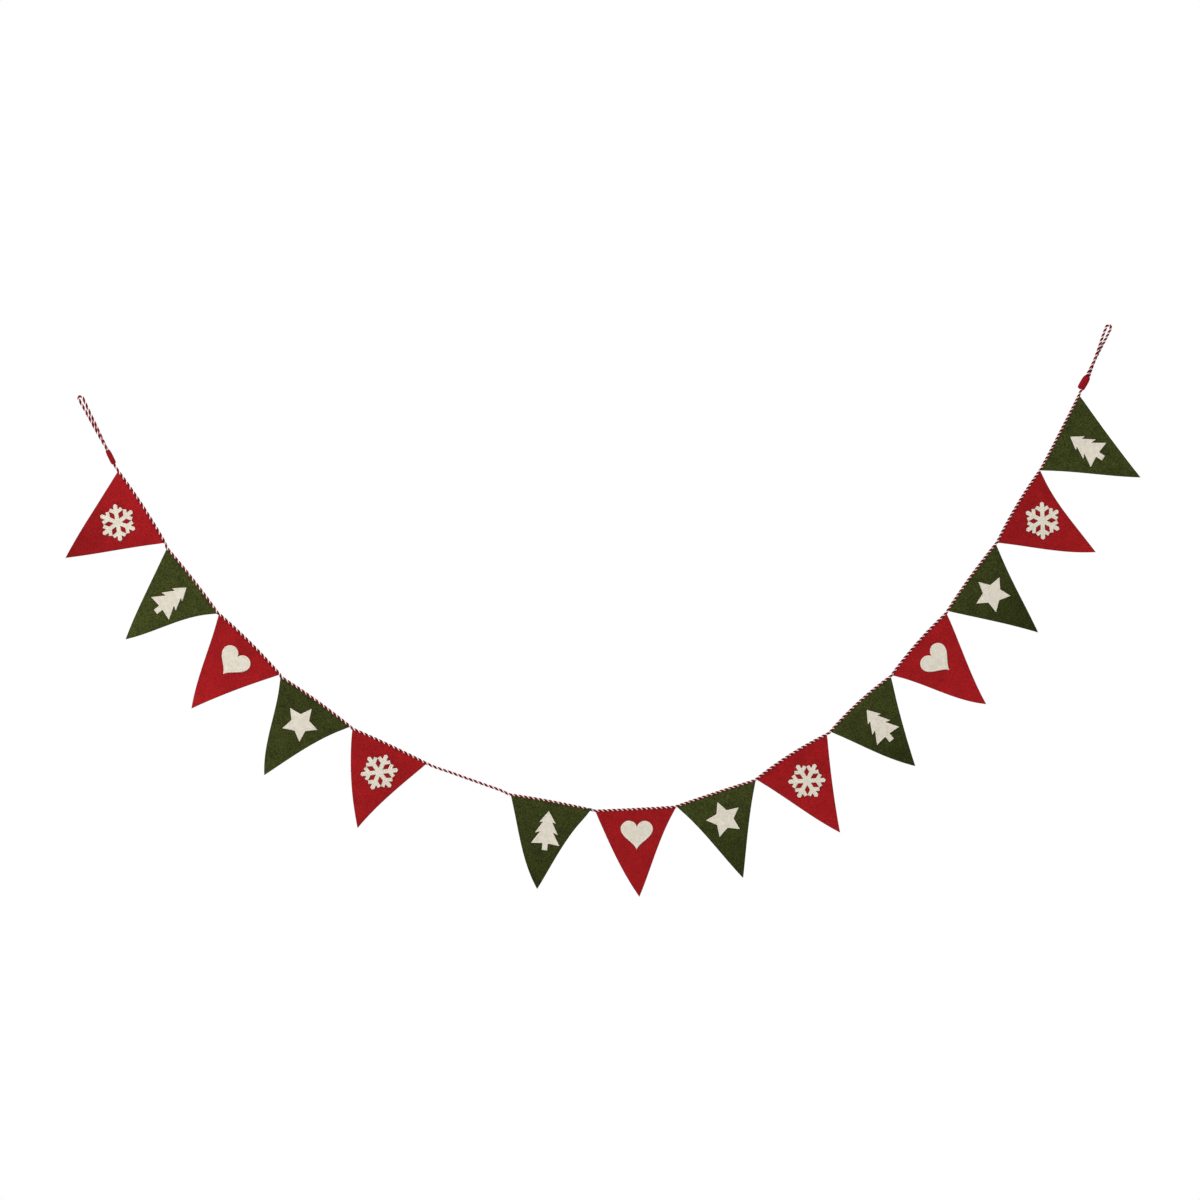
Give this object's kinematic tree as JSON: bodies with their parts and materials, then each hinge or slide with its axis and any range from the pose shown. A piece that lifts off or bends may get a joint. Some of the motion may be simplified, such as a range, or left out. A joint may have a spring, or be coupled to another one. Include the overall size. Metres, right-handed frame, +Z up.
{
  "type": "felt pennant bunting",
  "caption": "Hanging felt bunting: triangular red and green pennants with cream applique motifs, sewn below a twisted red and white cord with a bound loop at each end.",
  "frame": {"origin": "the bearing point of the left hook, inside the top of the left hanging loop, in the plane of the cord", "axes": "+X runs along the garland from the left loop to the right one, +Z is up, and the front with its motifs faces -Y"},
  "size_m": [1.4848, 0.0143, 0.7895],
  "materials": {
    "red_felt": "thick matte wool felt, deep red",
    "green_felt": "thick matte wool felt, dark moss green with lighter fibres",
    "cream_felt": "thin matte wool felt, warm cream, stitched round its edge",
    "red_thread": "wound thread, deep red, slightly silky",
    "cord_yarn": "three-ply twisted yarn, two plies deep red and one off-white"
  },
  "bodies": {
    "root": {"cord": "cord_yarn", "left_binding": "red_thread", "right_binding": "red_thread", "pennant_01_red": "red_felt", "pennant_02_green": "green_felt", "pennant_03_red": "red_felt", "pennant_04_green": "green_felt", "pennant_05_red": "red_felt", "pennant_06_green": "green_felt", "pennant_07_red": "red_felt", "pennant_08_green": "green_felt", "pennant_09_red": "red_felt", "pennant_10_green": "green_felt", "pennant_11_red": "red_felt", "pennant_12_green": "green_felt", "pennant_13_red": "red_felt", "pennant_14_green": "green_felt", "motif_01_snowflake": "cream_felt", "motif_02_tree": "cream_felt", "motif_03_heart": "cream_felt", "motif_04_star": "cream_felt", "motif_05_snowflake": "cream_felt", "motif_06_tree": "cream_felt", "motif_07_heart": "cream_felt", "motif_08_star": "cream_felt", "motif_09_snowflake": "cream_felt", "motif_10_tree": "cream_felt", "motif_11_heart": "cream_felt", "motif_12_star": "cream_felt", "motif_13_snowflake": "cream_felt", "motif_14_tree": "cream_felt"}
  },
  "joints": []
}
